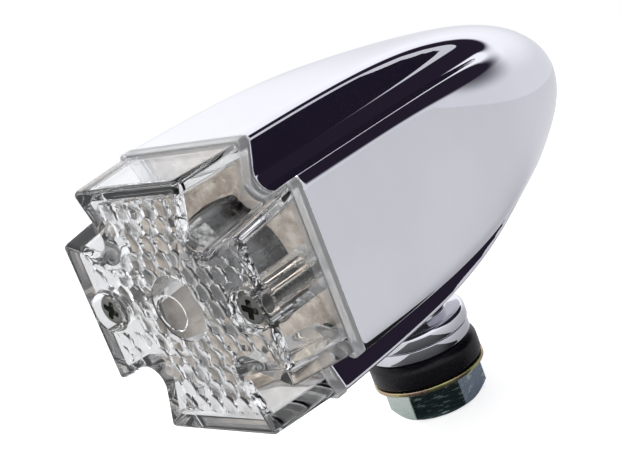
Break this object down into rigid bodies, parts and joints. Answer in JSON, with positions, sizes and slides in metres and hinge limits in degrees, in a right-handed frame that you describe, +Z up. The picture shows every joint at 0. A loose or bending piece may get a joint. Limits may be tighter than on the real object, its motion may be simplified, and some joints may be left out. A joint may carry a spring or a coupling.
{
  "type": "motorcycle turn signal",
  "caption": "Turn signal with a chrome fluted bullet housing, a clear cross-shaped honeycomb lens and a hollow mounting bolt with rubber ring and washer.",
  "frame": {"origin": "on the axis of the hollow mounting bolt, at the underside of the rubber ring, where the bracket plate is clamped", "axes": "+Z up along the bolt axis; the lens looks along -Y and the nose of the housing points along +Y"},
  "size_m": [0.045, 0.1048, 0.0663],
  "materials": {
    "housing": "polished chrome plate over die-cast zinc",
    "neck_collar": "polished chrome plate",
    "lens": "clear moulded acrylic with a honeycomb inner face",
    "lens_screws": "dark passivated steel",
    "lens_gasket": "translucent grey silicone",
    "reflector": "bright pressed aluminium",
    "bulb_glass": "clear blown glass",
    "bulb_base": "bright brass",
    "bulb_pins": "bright brass",
    "bulb_insulator": "black fused glass",
    "bulb_contact": "solder",
    "bulb_stem": "pressed clear glass",
    "bulb_support_wires": "nickel wire",
    "bulb_filament": "tungsten",
    "socket_shell": "zinc-plated steel",
    "socket_wafer": "brown phenolic sheet",
    "contact_disc": "brown phenolic sheet",
    "contact_plunger": "plain brass",
    "contact_spring": "spring steel wire",
    "live_terminal": "tinned brass",
    "socket_bracket": "zinc-plated steel sheet",
    "bracket_screws": "zinc-plated steel",
    "earth_terminal": "tinned brass",
    "rubber_ring": "black moulded rubber",
    "flat_washer": "yellow iridescent zinc plate",
    "hollow_bolt": "bright zinc plate"
  },
  "bodies": {
    "bracket_side": {"rubber_ring": "rubber_ring", "flat_washer": "flat_washer", "hollow_bolt": "hollow_bolt"},
    "lamp": {"housing": "housing", "neck_collar": "neck_collar", "lens": "lens", "lens_screws": "lens_screws", "lens_gasket": "lens_gasket", "reflector": "reflector", "socket_shell": "socket_shell", "socket_wafer": "socket_wafer", "contact_spring": "contact_spring", "socket_bracket": "socket_bracket", "bracket_screws": "bracket_screws", "earth_terminal": "earth_terminal"},
    "contact": {"contact_disc": "contact_disc", "contact_plunger": "contact_plunger", "live_terminal": "live_terminal"},
    "bulb": {"bulb_glass": "bulb_glass", "bulb_base": "bulb_base", "bulb_pins": "bulb_pins", "bulb_insulator": "bulb_insulator", "bulb_contact": "bulb_contact", "bulb_stem": "bulb_stem", "bulb_support_wires": "bulb_support_wires", "bulb_filament": "bulb_filament"}
  },
  "joints": [
    {"name": "aim_swivel", "type": "hinge", "parent": "bracket_side", "child": "lamp", "pos_m": [0, 0, 0], "axis": [0, 0, 1], "range_deg": [-90, 90]},
    {"name": "contact_press", "type": "slide", "parent": "lamp", "child": "contact", "axis": [0, 1, 0], "range_m": [0, 0.0015], "stiffness_N_per_m": 4000, "springref_m": -0.001, "deforming": ["contact_spring"]},
    {"name": "bulb_twist", "type": "hinge", "parent": "contact", "child": "bulb", "pos_m": [0, -0.01, 0.0368], "axis": [0, 1, 0], "range_deg": [0, 20]}
  ]
}
